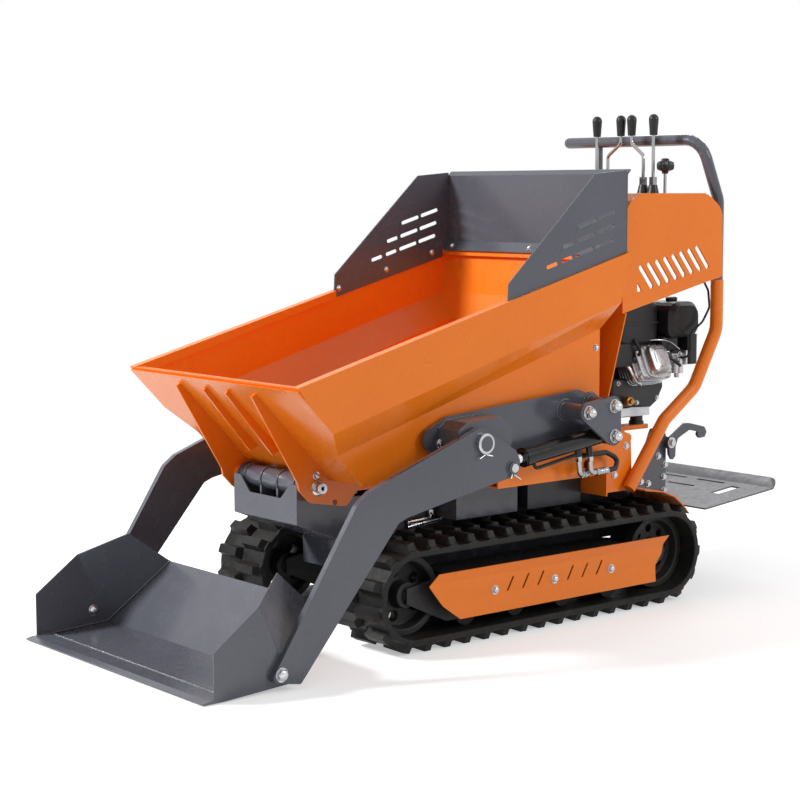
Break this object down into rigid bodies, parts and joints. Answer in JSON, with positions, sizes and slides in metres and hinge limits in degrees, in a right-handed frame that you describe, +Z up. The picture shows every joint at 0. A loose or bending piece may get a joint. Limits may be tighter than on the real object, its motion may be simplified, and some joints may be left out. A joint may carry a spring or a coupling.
{
  "type": "tracked mini dumper with loading shovel",
  "caption": "Walk-behind rubber-tracked mini dumper with a forward-tipping skip, a front loading shovel on two lift arms, an open engine bay, control levers and a folding platform.",
  "frame": {"origin": "middle of the machine's plan box at ground level, under the tracks", "axes": "+X forward towards the shovel, +Y to the machine's left, +Z up"},
  "size_m": [2.011, 0.816, 1.257],
  "materials": {
    "orange_paint": "gloss powder coat",
    "grey_paint": "satin powder coat",
    "rubber": "matt",
    "wheel_black": "satin black",
    "black_plastic": "moulded",
    "cylinder_black": "gloss black",
    "chrome_rod": "polished",
    "engine_cast": "cast",
    "plated_steel": "zinc plated"
  },
  "bodies": {
    "chassis": {"main_frame": "grey_paint", "hydraulic_tank": "grey_paint", "battery_box": "grey_paint", "front_hinge_bracket": "grey_paint", "upper_frame": "orange_paint", "track_frame_l": "grey_paint", "track_frame_r": "grey_paint", "track_l": "rubber", "track_r": "rubber", "idler_l": "wheel_black", "idler_r": "wheel_black", "sprocket_l": "wheel_black", "sprocket_r": "wheel_black", "rollers_l": "wheel_black", "rollers_r": "wheel_black", "track_cover_l": "orange_paint", "track_cover_r": "orange_paint", "loader_mount_l": "grey_paint", "loader_mount_r": "grey_paint", "engine_block": "engine_cast", "engine_head": "engine_cast", "engine_mounts": "rubber", "engine_shroud": "black_plastic", "carburettor": "engine_cast", "air_cleaner": "black_plastic", "fuel_tank": "black_plastic", "throttle_cable": "rubber", "hydraulic_pump": "grey_paint", "valve_block": "grey_paint", "frame_tube_l": "orange_paint", "frame_tube_r": "orange_paint", "side_panel_l": "orange_paint", "side_panel_r": "orange_paint", "top_deck": "orange_paint", "handlebar": "grey_paint", "control_levers": "plated_steel", "lever_knobs": "black_plastic", "rear_bracket": "grey_paint", "latch_hook": "grey_paint", "rear_fender_l": "orange_paint", "rear_fender_r": "orange_paint"},
    "skip": {"skip_tub": "orange_paint", "skip_ribs": "orange_paint", "guard_left": "grey_paint", "guard_right": "grey_paint", "guard_back": "grey_paint"},
    "loader": {"arm_l": "grey_paint", "arm_r": "grey_paint", "bucket": "grey_paint"},
    "lift_barrels": {"lift_barrel_l": "cylinder_black", "lift_barrel_r": "cylinder_black", "lift_hose_l": "rubber", "lift_hose_r": "rubber"},
    "lift_rods": {"lift_rod_l": "chrome_rod", "lift_rod_r": "chrome_rod"},
    "tip_barrel": {"tip_barrel": "cylinder_black"},
    "tip_rod": {"tip_rod": "chrome_rod"},
    "platform": {"platform": "plated_steel"}
  },
  "joints": [
    {"name": "skip_tip", "type": "hinge", "parent": "chassis", "child": "skip", "pos_m": [0.5385, 0, 0.384], "axis": [0, 1, 0], "range_deg": [0, 75]},
    {"name": "loader_lift", "type": "hinge", "parent": "chassis", "child": "loader", "pos_m": [0.2425, 0, 0.485], "axis": [0, -1, 0], "range_deg": [0, 120]},
    {"name": "lift_barrel_swing", "type": "hinge", "parent": "chassis", "child": "lift_barrels", "pos_m": [-0.1955, 0, 0.464], "axis": [0, -1, 0], "range_deg": [0, 5.11]},
    {"name": "lift_rod_slide", "type": "slide", "parent": "lift_barrels", "child": "lift_rods", "axis": [0.9921, 0, -0.1254], "range_m": [0, 0.1911]},
    {"name": "tip_barrel_swing", "type": "hinge", "parent": "chassis", "child": "tip_barrel", "pos_m": [-0.1055, 0, 0.26], "axis": [0, -1, 0], "range_deg": [0, 14.38]},
    {"name": "tip_rod_slide", "type": "slide", "parent": "tip_barrel", "child": "tip_rod", "axis": [0.9821, 0, 0.1884], "range_m": [0, 0.1363]},
    {"name": "platform_fold", "type": "hinge", "parent": "chassis", "child": "platform", "pos_m": [-0.6775, 0, 0.209], "axis": [0, 1, 0], "range_deg": [0, 80]}
  ],
  "couplings": [
    {"joint": "lift_barrel_swing", "follows": "loader_lift", "ratio": 0.038425},
    {"joint": "lift_rod_slide", "follows": "loader_lift", "m_per_rad": 0.090277},
    {"joint": "tip_barrel_swing", "follows": "skip_tip", "ratio": 0.18502},
    {"joint": "tip_rod_slide", "follows": "skip_tip", "m_per_rad": 0.10263}
  ]
}
